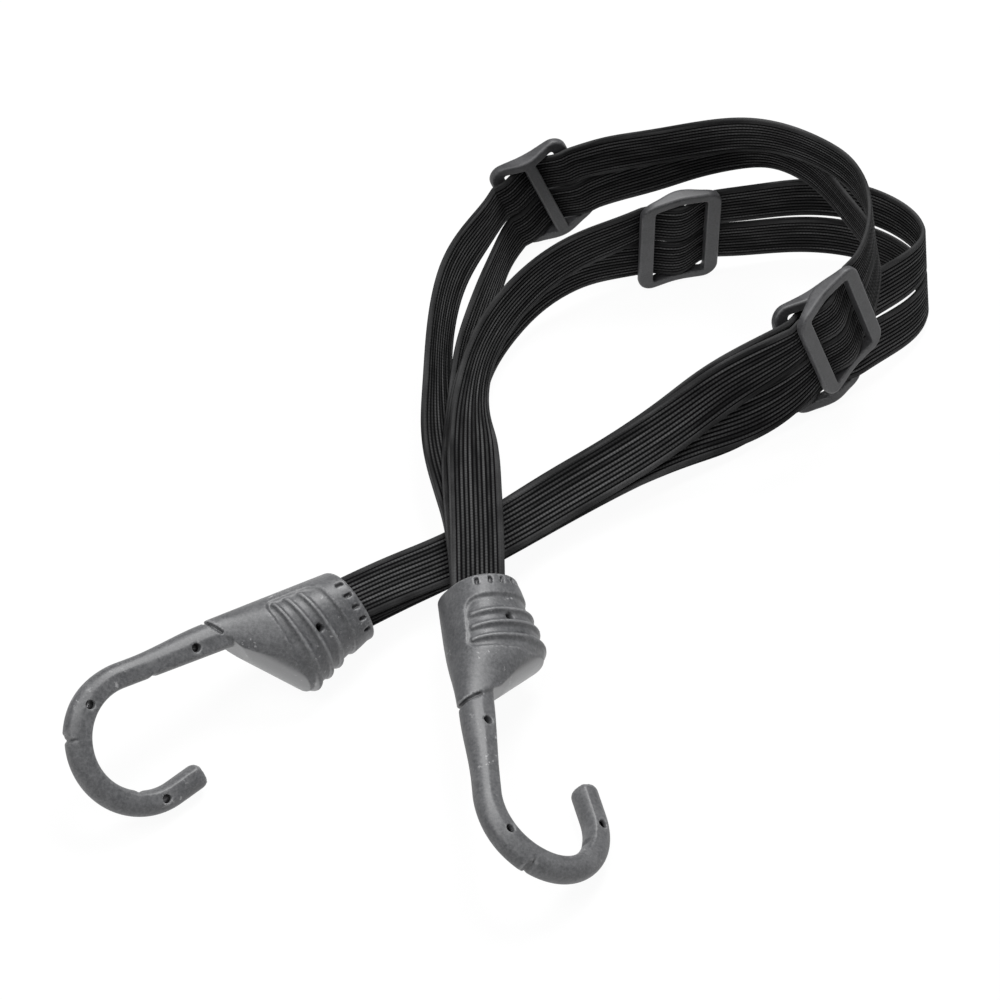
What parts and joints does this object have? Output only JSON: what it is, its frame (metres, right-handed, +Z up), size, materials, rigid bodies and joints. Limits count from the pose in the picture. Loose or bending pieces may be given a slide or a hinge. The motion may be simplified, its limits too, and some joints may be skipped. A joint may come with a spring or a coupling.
{
  "type": "elastic luggage net",
  "caption": "Elastic luggage net: flat ribbed bands run side by side through tri-glide sliders to a moulded hook at each end, laid as a loop with one end's bundle crossing the other.",
  "frame": {"origin": "floor level under the middle of the box round the hooks and sliders", "axes": "+Z up, +Y away from the viewer of the picture, +X to the viewer's right"},
  "size_m": [0.2314, 0.2366, 0.0635],
  "materials": {
    "elastic_webbing": "matt black woven elastic with raised lengthwise ribs",
    "hook_plastic": "matt mid-grey moulding with a fine mottled grain and scuffs",
    "slider_plastic": "satin dark grey moulding",
    "core_steel": "plain drawn steel"
  },
  "bodies": {
    "bands": {"band_outer_top": "elastic_webbing", "band_outer_low": "elastic_webbing", "band_inner_top": "elastic_webbing", "band_inner_low": "elastic_webbing"},
    "hook_front": {"hook_front_shell": "hook_plastic", "hook_front_wire": "core_steel", "hook_front_crimp": "core_steel"},
    "hook_left": {"hook_left_shell": "hook_plastic", "hook_left_wire": "core_steel", "hook_left_crimp": "core_steel"},
    "slider_back_left": {"slider_back_left": "slider_plastic"},
    "slider_back_mid": {"slider_back_mid": "slider_plastic"},
    "slider_front_outer": {"slider_front_outer": "slider_plastic"},
    "slider_front_inner": {"slider_front_inner": "slider_plastic"}
  },
  "joints": [
    {"name": "hook_front_stretch", "type": "slide", "parent": "bands", "child": "hook_front", "axis": [0.0848, -0.9964, 0], "range_m": [0, 0.14], "stiffness_N_per_m": 600, "deforming": ["band_outer_top", "band_outer_low", "band_inner_top", "band_inner_low"]},
    {"name": "hook_left_stretch", "type": "slide", "parent": "bands", "child": "hook_left", "axis": [-0.8303, -0.5573, 0], "range_m": [0, 0.14], "stiffness_N_per_m": 600, "deforming": ["band_outer_top", "band_outer_low", "band_inner_top", "band_inner_low"]},
    {"name": "slider_back_left_slide", "type": "slide", "parent": "bands", "child": "slider_back_left", "axis": [0.8827, 0.3039, 0.3584], "range_m": [0, 0.008], "deforming": ["band_outer_top", "band_outer_low"]},
    {"name": "slider_back_mid_slide", "type": "slide", "parent": "bands", "child": "slider_back_mid", "axis": [0.9557, 0.2922, 0.0349], "range_m": [0, 0.008], "deforming": ["band_inner_top", "band_inner_low"]},
    {"name": "slider_front_outer_slide", "type": "slide", "parent": "bands", "child": "slider_front_outer", "axis": [-0.6364, -0.7068, -0.309], "range_m": [-0.008, 0.008], "deforming": ["band_outer_top", "band_outer_low"]},
    {"name": "slider_front_inner_slide", "type": "slide", "parent": "bands", "child": "slider_front_inner", "axis": [-0.8172, -0.5722, -0.0698], "range_m": [-0.008, 0], "deforming": ["band_inner_top", "band_inner_low"]}
  ]
}
